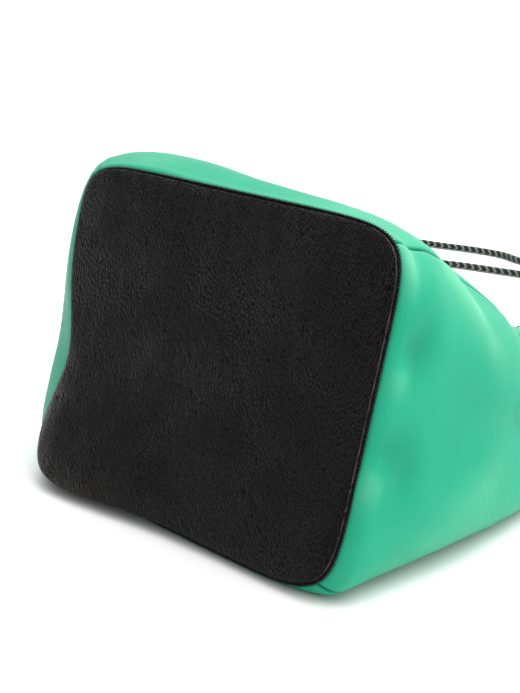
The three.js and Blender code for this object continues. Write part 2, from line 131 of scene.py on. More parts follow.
def section_point(s, v, off=0.0, folded=True):
    """The wall's outer face at s round the body (whole numbers at the corner seams, from the lower left one
    by way of the floor) and v along it, moved out by off within its section."""
    s, v, off = np.broadcast_arrays(np.asarray(s, float), np.asarray(v, float), np.asarray(off, float))
    g = {field: monotone(v, field) for field in FIELDS}
    side = np.floor(s).astype(int) % 4
    t = 2 * (s - np.floor(s)) - 1
    qx = np.choose(side, [t, np.ones_like(t), -t, -np.ones_like(t)])
    qz = np.choose(side, [-np.ones_like(t), t, np.ones_like(t), -t])
    power = np.where(qz > 0, g["square_top"], g["square_low"])
    norm = (np.abs(qx) ** power + np.abs(qz) ** power) ** (1 / power)
    cx, cz = qx / norm, qz / norm
    half_high = g["high"] / 2
    up = (cz + 1) / 2
    half_wide = np.where(cx > 0, g["low_right"] + (g["top_right"] - g["low_right"]) * up,
                         g["low_left"] + (g["top_left"] - g["low_left"]) * up)
    nx = np.sign(cx) * np.abs(cx) ** (power - 1) / half_wide
    nz = np.sign(cz) * np.abs(cz) ** (power - 1) / half_high
    length = np.hypot(nx, nz)
    turn = np.arctan2(cz, cx) - math.pi / 2
    fold = g["fold"] * (SIDE_FOLD + (1 - SIDE_FOLD) * cz * cz)
    out = off - (fold * np.cos(FOLDS * turn) if folded else 0)
    h = half_high * (1 + cz) + out * nz / length
    dent = (DENT * np.exp(-(((h - DENT_HEIGHT) / DENT_SPREAD) ** 2)) * np.maximum(-cx, 0) ** 6
            * np.exp(-((v / DENT_DEPTH) ** 2)))
    x = half_wide * cx + out * nx / length + dent
    lean = np.radians(g["lean"])
    z = np.maximum(g["low"] + h * np.cos(lean) - g["drop"] * cx * up, 0)
    return np.stack([x, g["y"] + (h - half_high) * np.sin(lean), z], axis=-1)


STEP = 2e-3  # along s and v, for the wall's rates


def wall_axes(s, v):
    """The wall's rates along s and v, and its outward normal."""
    v = np.asarray(v, float)
    low, high = np.maximum(v - STEP, 0), np.minimum(v + STEP, 1)
    along_s = (section_point(s + STEP, v) - section_point(s - STEP, v)) / (2 * STEP)
    along_v = (section_point(s, high) - section_point(s, low)) / (high - low)[..., None]
    normal = np.cross(along_v, along_s)
    return along_s, along_v, normal / np.linalg.norm(normal, axis=-1, keepdims=True)


def body_point(s, v, off=0.0):
    """The wall at (s, v), off its outer face by off, square to the wall."""
    s, v, off = np.broadcast_arrays(np.asarray(s, float), np.asarray(v, float), np.asarray(off, float))
    return section_point(s, v) + wall_axes(s, v)[2] * off[..., None]


# ---- Meshes ----

def closed_faces(rows, columns, around, keep=None):
    """Faces of a closed shell between two grids of rows by columns points, outer first. The border is closed
    wherever a cell of keep is missing or the grid ends."""
    spans = columns if around else columns - 1
    i, j = np.meshgrid(np.arange(rows - 1), np.arange(spans), indexing="ij")
    if keep is not None:
        i, j = i[keep], j[keep]
    i, j = i.ravel(), j.ravel()
    after = (j + 1) % columns
    quads = np.stack([i * columns + j, (i + 1) * columns + j, (i + 1) * columns + after,
                      i * columns + after], 1)
    total = rows * columns
    starts, ends = quads.ravel(), np.roll(quads, -1, axis=1).ravel()
    lone = ~np.isin(starts * total + ends, ends * total + starts)
    a, b = starts[lone], ends[lone]
    border = np.stack([b, a, a + total, b + total], 1)
    return np.concatenate([quads, quads[:, ::-1] + total, border])


def make_mesh(name, points, faces, crease=None, painted_light=None):
    """A smooth mesh from points in the bag's own frame; edges sharper than crease degrees stay sharp. Each
    point's value of painted light and shade is kept for the material: below 0 the leather is painted darker
    there as shade, above 0 paler as a highlight."""
    used, index = np.unique(faces, return_inverse=True)
    mesh = bpy.data.meshes.new(name)
    mesh.from_pydata(to_frame(np.asarray(points)[used]), [], index.reshape(faces.shape).tolist())
    values = np.zeros(len(used)) if painted_light is None else np.asarray(painted_light)[used]
    mesh.attributes.new("painted_light", "FLOAT", "POINT").data.foreach_set("value", values.astype(np.float32))
    mesh.shade_smooth()
    if crease is not None:
        mesh.set_sharp_from_angle(angle=math.radians(crease))
    return mesh


def shell_mesh(name, outer, inner, around=False, keep=None, crease=40, painted_light=None):
    """A closed shell between two grids of points."""
    rows, columns = outer.shape[:2]
    points = np.concatenate([outer.reshape(-1, 3), inner.reshape(-1, 3)])
    painted_light_values = None if painted_light is None else np.concatenate([painted_light.ravel(), painted_light.ravel()])
    return make_mesh(name, points, closed_faces(rows, columns, around, keep), crease, painted_light_values)


def ring_faces(rows, columns, closed_rows):
    """Faces of a grid that closes on itself across its columns, and across its rows too with closed_rows."""
    spans = rows if closed_rows else rows - 1
    i, j = np.meshgrid(np.arange(spans), np.arange(columns), indexing="ij")
    i, j = i.ravel(), j.ravel()
    after_i, after_j = (i + 1) % rows, (j + 1) % columns
    return np.stack([i * columns + j, after_i * columns + j, after_i * columns + after_j,
                     i * columns + after_j], 1)


def add_piece(name, data, material, body="bag", replaces=()):
    """Links a piece that rides on a body, with its material, and hides the imported nodes that it stands for.
    """
    piece = bpy.data.objects.new(name, data)
    bpy.context.scene.collection.objects.link(piece)
    data.materials.append(material)
    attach(piece, body)
    if replaces:
        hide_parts(*replaces)
    return piece


# ---- Node helpers ----

class Shader:
    """A new material and short calls that add nodes to it."""

    def __init__(self, name, **constants):
        self.material = bpy.data.materials.new(name)
        self.material.use_nodes = True
        self.nodes = self.material.node_tree.nodes
        self.links = self.material.node_tree.links
        self.surface = self.nodes["Principled BSDF"]
        for socket, value in constants.items():
            self.surface.inputs[socket.replace("_", " ")].default_value = value

    def put(self, socket, value):
        """Sets or links one input."""
        if isinstance(value, bpy.types.NodeSocket):
            self.links.new(value, socket)
        elif value is not None:
            socket.default_value = value

    def add(self, kind, inputs=None, **settings):
        node = self.nodes.new(kind)
        for key, value in settings.items():
            setattr(node, key, value)
        for key, value in (inputs or {}).items():
            self.put(node.inputs[key], value)
        return node

    def math(self, operation, a, b=None, c=None):
        node = self.add("ShaderNodeMath", operation=operation)
        for socket, value in zip(node.inputs, (a, b, c)):
            self.put(socket, value)
        return node.outputs[0]

    def place(self, scale=(1, 1, 1), turn=(0, 0, 0)):
        """Object coordinates in metres, turned and scaled."""
        source = self.add("ShaderNodeTexCoord").outputs["Object"]
        return self.add("ShaderNodeMapping", {"Vector": source, "Scale": scale, "Rotation": turn}).outputs[0]

    def noise(self, vector, scale, detail=3.0, roughness=0.5, distortion=0.0):
        node = self.add("ShaderNodeTexNoise", {"Vector": vector, "Scale": scale, "Detail": detail,
                                               "Roughness": roughness, "Distortion": distortion})
        return node.outputs["Fac"]

    def cells(self, vector, scale, feature="F1", randomness=1.0):
        node = self.add("ShaderNodeTexVoronoi", {"Vector": vector, "Scale": scale, "Randomness": randomness},
                        feature=feature)
        return node.outputs["Distance"]

    def span(self, value, low, high, out_low=0.0, out_high=1.0):
        """Maps a value from low..high to out_low..out_high, held at the ends."""
        node = self.add("ShaderNodeMapRange", {0: value, 1: low, 2: high, 3: out_low, 4: out_high})
        return node.outputs[0]

    def blend(self, factor, a, b):
        node = self.add("ShaderNodeMix", data_type="RGBA")
        self.put(node.inputs["Factor"], factor)
        self.put(node.inputs[6], a)
        self.put(node.inputs[7], b)
        return node.outputs[2]

    def bump(self, height, distance, strength=1.0, under=None):
        node = self.add("ShaderNodeBump", {"Height": height, "Distance": distance, "Strength": strength})
        if under is not None:
            self.put(node.inputs["Normal"], under)
        return node.outputs[0]

    def finish(self, color=None, roughness=None, normal=None):
        for socket, value in (("Base Color", color), ("Roughness", roughness), ("Normal", normal)):
            if value is not None:
                self.put(self.surface.inputs[socket], value)
        return self.material


def srgb(red, green, blue):
    """An sRGB colour of 0..255 as linear RGBA."""
    def linear(c):
        c /= 255
        return c / 12.92 if c <= 0.04045 else ((c + 0.055) / 1.055) ** 2.4
    return (linear(red), linear(green), linear(blue), 1.0)


# ---- Materials ----

def green_leather():
    """Smooth nappa: even bright green, very fine grain, faint cloudiness, with painted highlights and painted
    shade laid on by the mesh.
    """
    m = Shader("green_leather", Specular_IOR_Level=0.13)
    place = m.place()
    cloud = m.noise(place, 22, 3)
    fine = m.noise(place, 1500, 3, 0.6)
    pores = m.cells(place, 1100)
    color = m.blend(m.span(cloud, 0.3, 0.7), (0.010, 0.322, 0.184, 1), (0.017, 0.356, 0.206, 1))
    # Each point's painted light value: a painted highlight above 0, painted shade below 0.
    painted_light = m.add("ShaderNodeAttribute", attribute_name="painted_light").outputs["Fac"]
    color = m.blend(m.span(painted_light, 0.0, 1.0), color, (0.125, 0.50, 0.305, 1))
    color = m.blend(m.span(painted_light, 0.0, -1.0), color, (0.004, 0.200, 0.108, 1))
    grain = m.bump(pores, 0.00010, 0.35)
    grain = m.bump(fine, 0.00012, 0.35, grain)
    grain = m.bump(m.noise(place, 130, 3), 0.0006, 0.22, grain)
    return m.finish(color, m.span(cloud, 0.3, 0.7, 0.40, 0.50), grain)


def black_leather(name="black_leather"):
    """Pebbled leather: long small wrinkles that run up the base, pebbles between them, painted shade in their
    creases, a soft shine, and a painted sheen where the mesh's painted light value rises.
    """
    m = Shader(name, Specular_IOR_Level=0.10)
    flow = m.add("ShaderNodeVectorMath", {0: m.place(), 1: m.add("ShaderNodeVectorMath", {
        0: m.add("ShaderNodeTexNoise", {"Vector": m.place(), "Scale": 14, "Detail": 2}).outputs["Color"],
        3: 0.02}, operation="SCALE").outputs[0]}, operation="ADD").outputs[0]
    stretched = m.add("ShaderNodeMapping", {"Vector": flow, "Scale": (1, 1, 0.62),
                                            "Rotation": (0, math.radians(12), 0)}).outputs[0]
    pebbles = m.cells(stretched, 600, "SMOOTH_F1")
    creases = m.cells(stretched, 600, "DISTANCE_TO_EDGE")
    folds = m.noise(stretched, 420, 3, 0.5, 0.3)
    fine = m.noise(stretched, 1900, 3, 0.6)
    normal = m.bump(folds, 0.0006, 0.5)
    normal = m.bump(m.span(creases, 0.0, 0.30), 0.0006, 1.0, normal)
    normal = m.bump(m.span(pebbles, 0.0, 0.8, 1.0, 0.0), 0.0012, 1.0, normal)
    normal = m.bump(fine, 0.0002, 0.6, normal)
    patches = m.noise(m.place(), 18, 3)
    color = m.blend(m.span(patches, 0.3, 0.7), (0.0060, 0.0060, 0.0068, 1), (0.0105, 0.0098, 0.0096, 1))
    # Painted shade: the creases between the pebbles are painted near black.
    color = m.blend(m.span(creases, 0.0, 0.30), (0.0016, 0.0016, 0.0018, 1), color)
    # Painted sheen: the base's rolled lower left edge is painted paler and browner by the mesh's painted
    # light value.
    painted_light = m.add("ShaderNodeAttribute", attribute_name="painted_light").outputs["Fac"]
    color = m.blend(painted_light, color, (0.022, 0.019, 0.017, 1))
    sheen = m.math("ADD", m.noise(m.place(), 30, 2), m.math("MULTIPLY", fine, 0.7))
    shine = m.span(sheen, 0.6, 1.0, 0.20, 0.46)
    return m.finish(color, shine, normal)


def edge_leather():
    """The cut edge of the base leather: dusky pink-brown where the dye stops."""
    m = Shader("base_edge", Specular_IOR_Level=0.5)
    place = m.place()
    color = m.blend(m.span(m.noise(place, 260, 3), 0.35, 0.65), srgb(36, 24, 26), srgb(92, 72, 76))
    return m.finish(color, m.span(m.noise(place, 500, 2), 0.3, 0.7, 0.3, 0.5),
                    m.bump(m.noise(place, 1200, 2), 0.0002))


def thread(name, low, high):
    """Twisted thread, between two colours."""
    m = Shader(name)
    place = m.place()
    twist = m.noise(place, 2600, 2)
    return m.finish(m.blend(m.span(twist, 0.35, 0.65), low, high), m.span(twist, 0.3, 0.7, 0.55, 0.75),
                    m.bump(twist, 0.0001))


def lining_cloth():
    """Dark woven lining: two sets of yarns and a little lint."""
    m = Shader("lining_cloth", Sheen_Weight=0.3, Sheen_Roughness=0.5)
    place = m.place()
    along = m.add("ShaderNodeTexWave", {"Vector": place, "Scale": 260, "Distortion": 0.6, "Detail": 1},
                  bands_direction="X").outputs["Fac"]
    across = m.add("ShaderNodeTexWave", {"Vector": place, "Scale": 260, "Distortion": 0.6, "Detail": 1},
                   bands_direction="Y").outputs["Fac"]
    weave = m.math("MAXIMUM", along, across)
    color = m.blend(weave, srgb(30, 32, 36), srgb(52, 55, 60))
    return m.finish(color, m.span(m.noise(place, 200), 0.3, 0.7, 0.85, 0.97), m.bump(weave, 0.0003, 0.7))


def board_grey():
    """Pressed fibre board."""
    m = Shader("board_grey")
    fibre = m.noise(m.place((1, 1, 6)), 300, 4, 0.7)
    return m.finish(m.blend(fibre, srgb(92, 86, 78), srgb(128, 120, 108)), m.span(fibre, 0.3, 0.7, 0.8, 0.95),
                    m.bump(fibre, 0.0002))


def gunmetal():
    """Dark metal with a little wear."""
    m = Shader("gunmetal", Metallic=1.0)
    place = m.place()
    wear = m.noise(place, 240, 4, 0.6)
    scratches = m.noise(m.place((1, 9, 1)), 700, 2)
    color = m.blend(m.span(wear, 0.35, 0.75), srgb(74, 74, 78), srgb(104, 102, 100))
    return m.finish(color, m.span(scratches, 0.3, 0.7, 0.18, 0.36), m.bump(scratches, 0.00003))


# The braid: stitches slant one way and the other in columns round the cord, and every third is grey-green.
BRAID_COLUMNS = 4
BRAID_SLANT = 4.2  # how far a stitch runs along the cord as it crosses its column, in mm
STITCH = 2.6  # from one stitch to the next along the cord, in mm
FLECK_EVERY = 3


def braided_cord():
    """The braid's colours, laid by the UVs of braid_tube."""
    m = Shader("braided_cord", Sheen_Weight=0.25, Sheen_Roughness=0.4, Specular_IOR_Level=0.25)
    split = m.add("ShaderNodeSeparateXYZ", {"Vector": m.add("ShaderNodeTexCoord").outputs["UV"]})
    column = m.math("MULTIPLY", split.outputs[0], BRAID_COLUMNS)
    zigzag = m.math("PINGPONG", column, 1.0)
    along = m.math("ADD", m.math("MULTIPLY", split.outputs[1], 1 / (MM * STITCH)),
                   m.math("MULTIPLY", zigzag, BRAID_SLANT / STITCH))
    step = m.math("FRACT", m.math("DIVIDE", along, FLECK_EVERY))
    fleck = m.math("GREATER_THAN", step, 1 - 1 / FLECK_EVERY)
    place = m.place()
    fuzz = m.noise(place, 1800, 3, 0.6)
    yarn = m.math("SINE", m.math("MULTIPLY", m.math("SUBTRACT", m.math("MULTIPLY", zigzag, 9.0), along), 3.0))
    dark = m.blend(fuzz, srgb(12, 15, 13), srgb(44, 50, 45))
    light = m.blend(fuzz, srgb(86, 100, 88), srgb(146, 160, 144))
    normal = m.bump(yarn, 0.00012, 0.5)
    normal = m.bump(fuzz, 0.0002, 0.5, normal)
    return m.finish(m.blend(fleck, dark, light), m.span(fuzz, 0.3, 0.7, 0.7, 0.9), normal)


# ---- Cords ----

def smooth_path(points, spacing):
    """The centripetal Catmull-Rom curve through the points, as points a given spacing apart."""
    points = np.asarray(points, float)
    padded = np.vstack([2 * points[0] - points[1], points, 2 * points[-1] - points[-2]])
    pieces = []
    t = np.linspace(0, 1, 40, endpoint=False)[:, None]
    for p0, p1, p2, p3 in zip(padded, padded[1:], padded[2:], padded[3:]):
        d0, d1, d2 = (math.sqrt(np.linalg.norm(b - a)) for a, b in ((p0, p1), (p1, p2), (p2, p3)))
        m1 = ((p1 - p0) / d0 - (p2 - p0) / (d0 + d1) + (p2 - p1) / d1) * d1
        m2 = ((p2 - p1) / d1 - (p3 - p1) / (d1 + d2) + (p3 - p2) / d2) * d1
        pieces.append(p1 + m1 * t + (3 * (p2 - p1) - 2 * m1 - m2) * t ** 2
                      + (2 * (p1 - p2) + m1 + m2) * t ** 3)
    line = np.vstack([*pieces, points[-1:]])
    lengths = np.concatenate([[0], np.cumsum(np.linalg.norm(np.diff(line, axis=0), axis=1))])
    even = np.linspace(0, lengths[-1], max(2, round(lengths[-1] / spacing)) + 1)
    return np.stack([np.interp(even, lengths, line[:, k]) for k in range(3)], axis=1)


def carried_frames(line):
    """Two unit vectors across the line at each of its points, carried along with no twist."""
    ahead = np.gradient(line, axis=0)
    ahead /= np.linalg.norm(ahead, axis=1, keepdims=True)
    across = np.empty_like(ahead)
    side = np.cross(ahead[0], (0, 0, 1.0) if abs(ahead[0][2]) < 0.9 else (1.0, 0, 0))
    for i, way in enumerate(ahead):
        side = side - way * (side @ way)
        side /= np.linalg.norm(side)
        across[i] = side
    return across, np.cross(ahead, across)


BRAID_RELIEF = 0.38  # depth of the dips between stitches, in mm
CORD_SIDES = 36
RING_SPACING = 0.55


def braid_tube(name, line, radius=CORD / 2, turn=0.0, twist=0.0):
    """A closed tube round the line, with the braid's stitches in its surface. Its UVs run round and along it.
    It is turned by turn degrees and twisted by twist degrees in a metre."""
    rings = len(line)
    across, over = carried_frames(line)
    lengths = np.concatenate([[0], np.cumsum(np.linalg.norm(np.diff(line, axis=0), axis=1))])
    share = np.arange(CORD_SIDES) / CORD_SIDES
    column = share * BRAID_COLUMNS
    zigzag = 1 - np.abs(column % 2 - 1)
    stitch = (lengths[:, None] + BRAID_SLANT * zigzag[None, :]) / STITCH
    bulge = (np.abs(np.sin(math.pi * stitch)) ** 0.6
             * (0.35 + 0.65 * np.abs(np.sin(math.pi * column)) ** 0.5)[None, :])
    r = radius - BRAID_RELIEF * (1 - bulge)
    angle = (2 * math.pi * share[None, :] + math.radians(turn)
             + math.radians(twist) * lengths[:, None] / 1000)
    surface = (line[:, None] + (r * np.cos(angle))[..., None] * across[:, None]
               + (r * np.sin(angle))[..., None] * over[:, None])
    points = np.vstack([surface.reshape(-1, 3), line[:1], line[-1:]])
    faces = ring_faces(rings, CORD_SIDES, False)[:, ::-1]
    j = np.arange(CORD_SIDES)
    after = (j + 1) % CORD_SIDES
    last = (rings - 1) * CORD_SIDES
    caps = np.concatenate([np.stack([after, j, np.full_like(j, rings * CORD_SIDES)], 1),
                           np.stack([last + j, last + after, np.full_like(j, rings * CORD_SIDES + 1)], 1)])
    mesh = bpy.data.meshes.new(name)
    mesh.from_pydata(to_frame(points), [], faces.tolist() + caps.tolist())
    mesh.shade_smooth()
    uv = mesh.uv_layers.new(name="UVMap")
    corner = np.empty(len(mesh.loops), int)
    mesh.loops.foreach_get("vertex_index", corner)
    corner_u = (corner % CORD_SIDES) / CORD_SIDES
    ring_of = np.minimum(corner // CORD_SIDES, rings - 1)
    quads = corner_u[:len(faces) * 4].reshape(-1, 4)
    wraps = quads.max(axis=1) - quads.min(axis=1) > 0.5
    quads[wraps] = np.where(quads[wraps] < 0.5, quads[wraps] + 1, quads[wraps])
    corner_u[:len(faces) * 4] = quads.ravel()
    uv.data.foreach_set("uv", np.stack([corner_u, lengths[ring_of] * MM], 1).ravel())
    return mesh


def wall_patch(s, v):
    """The wall at (s, v): its centre in the leather, its normal, and a map from a distance, a direction and
    an offset to a point near by."""
    along_s, along_v, normal = wall_axes(s, v)
    e1 = along_s / np.linalg.norm(along_s)
    e2 = np.cross(normal, e1)

    def point(distance, angle, off):
        dv = distance * np.sin(angle) / (along_v @ e2)
        ds = (distance * np.cos(angle) - dv * (along_v @ e1)) / np.linalg.norm(along_s)
        return body_point(s + ds, v + dv, off)

    return {"s": s, "v": v, "centre": body_point(s, v, -(LEATHER + GAP / 2)), "normal": normal,
            "point": point}


STRAP_PATCHES = {"right": wall_patch(RIGHT + 0.5, STRAP_LINE), "left": wall_patch(LEFT + 0.5, STRAP_LINE)}
DRAW_EYELETS = [TOP + EYELET_TURN, RIGHT + 1 - EYELET_TURN, RIGHT + EYELET_TURN, BOTTOM + 1 - EYELET_TURN,
                BOTTOM + EYELET_TURN, LEFT + 1 - EYELET_TURN, LEFT + EYELET_TURN, TOP + 1 - EYELET_TURN]
DRAW_PATCHES = [wall_patch(s, DRAW_LINE) for s in DRAW_EYELETS]

CORD_FLOOR = CORD / 2 + 0.1
STRAP_START = 4.5  # how far inside the wall the shoulder cord starts
STRAP_OUT = 8  # how far it runs square to the wall outside
SHOULDER_TURN = 20
SHOULDER_TWIST = 300
STRAP_KNOT, DRAW_KNOT = 7, 6.5  # outer radii
KNOT_CLEAR = GAP + 0.1


def shoulder_route():
    """The shoulder cord's centreline: out of the right strap eyelet, round on the floor, in at the left."""
    floor = [
        (141, 330), (140, 370), (122, 440), (82, 512), (22, 574), (-50, 620), (-125, 648), (-190, 660),
        (-240.8, 665.3), (-266.8, 671.7), (-291.5, 669.6), (-313.8, 664.1), (-335.4, 657), (-358.8, 651.5),
        (-388, 641), (-408, 620), (-410, 592), (-392, 570), (-362, 564), (-330, 576), (-303, 591),
        (-279.4, 602), (-267.6, 606.3), (-247.3, 612), (-225.8, 617.5), (-208.7, 621.8),
        (-178, 623), (-146, 610), (-114, 574), (-84, 524), (-66, 474), (-70, 426), (-94, 384), (-124, 352),
        (-139, 330),
    ]

    def leave(patch, hand):
        centre, normal = patch["centre"], patch["normal"]
        return [centre - normal * STRAP_START, centre + normal * STRAP_OUT * 0.5, centre + normal * STRAP_OUT,
                centre + normal * STRAP_OUT * 2 + (0, 4, -1), (hand * 125, 259, 38), (hand * 132, 276, 24),
                (hand * 137, 294, 11), (hand * 140, 310, 4.7)]

    return [*leave(STRAP_PATCHES["right"], 1), *((x, y, CORD_FLOOR) for x, y in floor),
            *reversed(leave(STRAP_PATCHES["left"], -1))]


TAIL_START = np.array([0, 265, 70])
TAIL_SLOPE = math.radians(33)
TAIL_WAY = np.array([0, -math.cos(TAIL_SLOPE), math.sin(TAIL_SLOPE)])
TAIL_APART, TAIL_STRAIGHT, TAIL_END, TAIL_SPREAD = 5.2, 58, 74, 9.6
# How far the drawstring stands out and in at each eyelet, and from the wall half-way to the next.
THROUGH_OUT, THROUGH_IN, VALLEY_RISE, CREST_DEPTH = 9, 11, 3, -6


def tail_point(x, along):
    """A place along the drawstring's tails, x to the side of their middle."""
    return TAIL_START + TAIL_WAY * along + (x, 0, 0)


def draw_route():
    """The drawstring's centreline: one tail, in and out of the eyelets round the mouth, the other tail."""
    def tail(hand):
        straight = (TAIL_STRAIGHT, TAIL_STRAIGHT - 6, TAIL_STRAIGHT / 2, 6, 0)
        return [tail_point(hand * TAIL_SPREAD, TAIL_END), tail_point(hand * TAIL_SPREAD * 0.92, TAIL_END - 7),
                *(tail_point(hand * TAIL_APART, a) for a in straight)]

    points = tail(1)
    for i, patch in enumerate(DRAW_PATCHES):
        way = [patch["centre"] + patch["normal"] * THROUGH_OUT, patch["centre"],
               patch["centre"] - patch["normal"] * THROUGH_IN]
        entering = i % 2 == 0
        points += way if entering else way[::-1]
        if i < len(DRAW_PATCHES) - 1:
            if entering:
                middle = section_point(round(DRAW_EYELETS[i]) % 4, DRAW_LINE, CREST_DEPTH, False)
            else:
                middle = section_point(math.floor(DRAW_EYELETS[i]) + 0.5, DRAW_LINE, VALLEY_RISE, False)
            middle[2] = max(middle[2], CORD / 2 + 0.4)
            points.append(middle)
    return [*points, *reversed(tail(-1))]


def knot_mesh(name, centre, way, size):
    """A tight overhand knot of the cord, of a given outer radius, with its axis along way."""
    t = np.linspace(0, 2 * math.pi, 260)
    tube = size * 0.42
    scale = (size - tube) / 3
    loop = np.stack([np.sin(t) + 2 * np.sin(2 * t), np.cos(t) - 2 * np.cos(2 * t), -1.25 * np.sin(3 * t)], 1)
    loop *= scale
    turn = np.array(Vector((0, 0, 1)).rotation_difference(Vector(way)).to_matrix())
    return braid_tube(name, loop @ turn.T + centre, tube)


def make_cords():
    """The shoulder cord and the drawstring, with their knots."""
    braid = braided_cord()
    line = smooth_path(shoulder_route(), RING_SPACING)
    mesh = braid_tube("shoulder_strap_cord", line, turn=SHOULDER_TURN, twist=SHOULDER_TWIST)
    shoulder = add_piece("shoulder_strap_cord", mesh, braid, replaces=["shoulder_cord"])
    for hand, patch in STRAP_PATCHES.items():
        centre = patch["centre"] - patch["normal"] * (STRAP_START + STRAP_KNOT + KNOT_CLEAR)
        mesh = knot_mesh(f"strap_knot_{hand}", centre, patch["normal"], STRAP_KNOT)
        add_piece(f"strap_knot_tied_{hand}", mesh, braid,
                               replaces=[f"strap_knot_{hand}"])
    draw = smooth_path(draw_route(), RING_SPACING)
    add_piece("drawstring", braid_tube("drawstring", draw), braid, replaces=["draw_cord"])
    for hand, sign in (("left", -1), ("right", 1)):
        centre = tail_point(sign * (TAIL_SPREAD + 1), TAIL_END + DRAW_KNOT + KNOT_CLEAR)
        mesh = knot_mesh(f"draw_knot_{hand}", centre, TAIL_WAY, DRAW_KNOT)
        add_piece(f"draw_knot_tied_{hand}", mesh, braid, replaces=[f"draw_knot_{hand}"])


# ---- Green panels ----

PANEL_COLUMNS = 90
PANEL_ROWS = 150
SEAM = 0.0012  # half of the gap between two panels, as a share of a side
WALL_LENGTH = 300  # along the wall from the base to the rim, in mm
FLOOR_THICK = 0.4  # least thickness of a panel where it lies on the floor

# Soft dents and folds of the leather: side, share across it, v, half-lengths along s and v in mm, turn,
# height.
# Each one also paints its own shading into the colour: painted shade in a dent, a painted highlight where the
# leather stands up.
DENTS = [
    (RIGHT, 0.920, 0.200, 9, 34, 42, 3.6),
    (RIGHT, 0.700, 0.060, 17, 13, 20, -3.0),
    (RIGHT, 0.620, 0.030, 9, 7, 0, 2.0),
    (RIGHT, 0.435, 0.045, 11, 13, 10, -2.7),
    (RIGHT, 0.360, 0.085, 13, 12, -20, -2.0),
    (RIGHT, 0.335, 0.018, 11, 8, 0, 1.7),
    (RIGHT, 0.930, 0.018, 14, 5, 0, 1.5),
    (RIGHT, 0.560, 0.250, 26, 30, 30, -1.2),
    (RIGHT, 0.250, 0.330, 16, 34, -35, 1.1),
    (RIGHT, 0.500, 0.520, 12, 40, 15, -1.8),
    (TOP, 0.500, 0.160, 50, 22, 5, -2.4),
    (TOP, 0.300, 0.420, 12, 46, -18, -3.9),
    (TOP, 0.620, 0.480, 12, 40, 14, -3.6),
    (TOP, 0.820, 0.300, 14, 38, 24, 2.4),
    (LEFT, 0.350, 0.240, 22, 34, 25, -4.5),
    (LEFT, 0.680, 0.140, 18, 16, -15, -3.0),
    (LEFT, 0.520, 0.460, 12, 42, -12, -4.5),
    (LEFT, 0.200, 0.560, 10, 36, 10, 2.7),
    (LEFT, 0.860, 0.400, 12, 40, -20, 2.7),
]

# Painted highlights without relief, in the same terms: painted floor bounce near the floor, and painted
# highlights by the base and behind the right fold.
PAINTED_HIGHLIGHT_PATCHES = [
    (RIGHT, 0.030, 0.300, 26, 100, 0, 1.2),
    (RIGHT, 0.960, 0.010, 20, 9, 0, 1.6),
    (RIGHT, 0.880, 0.260, 26, 44, 30, 1.3),
    (TOP, 0.200, 0.060, 40, 14, 0, 1.5),
    (TOP, 0.800, 0.050, 30, 10, 0, 0.9),
]

# Patches of fine wrinkles: side, share across it, v, half-length in mm, from one wrinkle to the next in mm,
# their direction in degrees, height.
WRINKLES = [
    (RIGHT, 0.640, 0.022, 11, 2.6, 0, 0.16),
    (RIGHT, 0.265, 0.370, 20, 5.5, 50, 0.09),
    (RIGHT, 0.440, 0.020, 9, 2.4, 0, 0.10),
    (TOP, 0.700, 0.060, 18, 4.2, 10, 0.14),
    (TOP, 0.250, 0.080, 16, 3.6, -10, 0.14),
    (LEFT, 0.560, 0.060, 16, 3.2, 0, 0.18),
    (LEFT, 0.400, 0.380, 24, 7.0, -40, 0.30),
    (TOP, 0.450, 0.620, 26, 6.5, 0, 0.35),
]


def bell(x):
    return np.exp(-x * x)


def coherent(points, scale, seed):
    """Smooth noise of about -1..1 at the points, with features of a given size in mm."""
    flat = np.asarray(points).reshape(-1, 3) / scale + seed
    return np.array([noise.noise(Vector(p)) for p in flat]).reshape(points.shape[:-1])


def turned(ds, dv, degrees):
    """Offsets along s and v as offsets along axes turned by degrees."""
    c, w = math.cos(math.radians(degrees)), math.sin(math.radians(degrees))
    return ds * c + dv * w, dv * c - ds * w


def wall_scale(s, v):
    """Millimetres of wall to a unit of s and of v."""
    along_s, along_v, _ = wall_axes(s, v)
    return np.linalg.norm(along_s, axis=-1), np.linalg.norm(along_v, axis=-1)


def relief(s, v):
    """How far the leather stands off the plain wall at each (s, v), in mm."""
    per_s, per_v = wall_scale(s, v)
    nearest = np.abs(s - np.round(s)) * per_s
    height = -1.2 * bell(nearest / 0.8) + 0.6 * bell((nearest - 4) / 3.2)
    from_base = v * WALL_LENGTH
    height += -0.8 * bell(from_base / 1.4) + 0.45 * bell((from_base - 4.5) / 3.0)
    for side, share, at_v, half_s, half_v, turn, depth in DENTS:
        across, along = turned((s - side - share) * per_s, (v - at_v) * per_v, turn)
        height += depth * bell(across / half_s) * bell(along / half_v)
    for side, share, at_v, half, pitch, turn, depth in WRINKLES:
        across, along = turned((s - side - share) * per_s, (v - at_v) * per_v, turn)
        wave = np.cos(2 * math.pi * (across + 1.2 * np.sin(along / pitch / 1.7)) / pitch)
        height += depth * wave * bell(across / half) * bell(along / half)
    wall = section_point(s, v)
    height += 1.1 * coherent(wall, 58, 3.1) + 0.30 * coherent(wall, 21, 7.7)
    gathered = np.clip((v - 0.7) / 0.25, 0, 1) ** 2
    height += gathered * 0.9 * coherent(wall * (1, 0.25, 1), 9, 1.3)
    return height


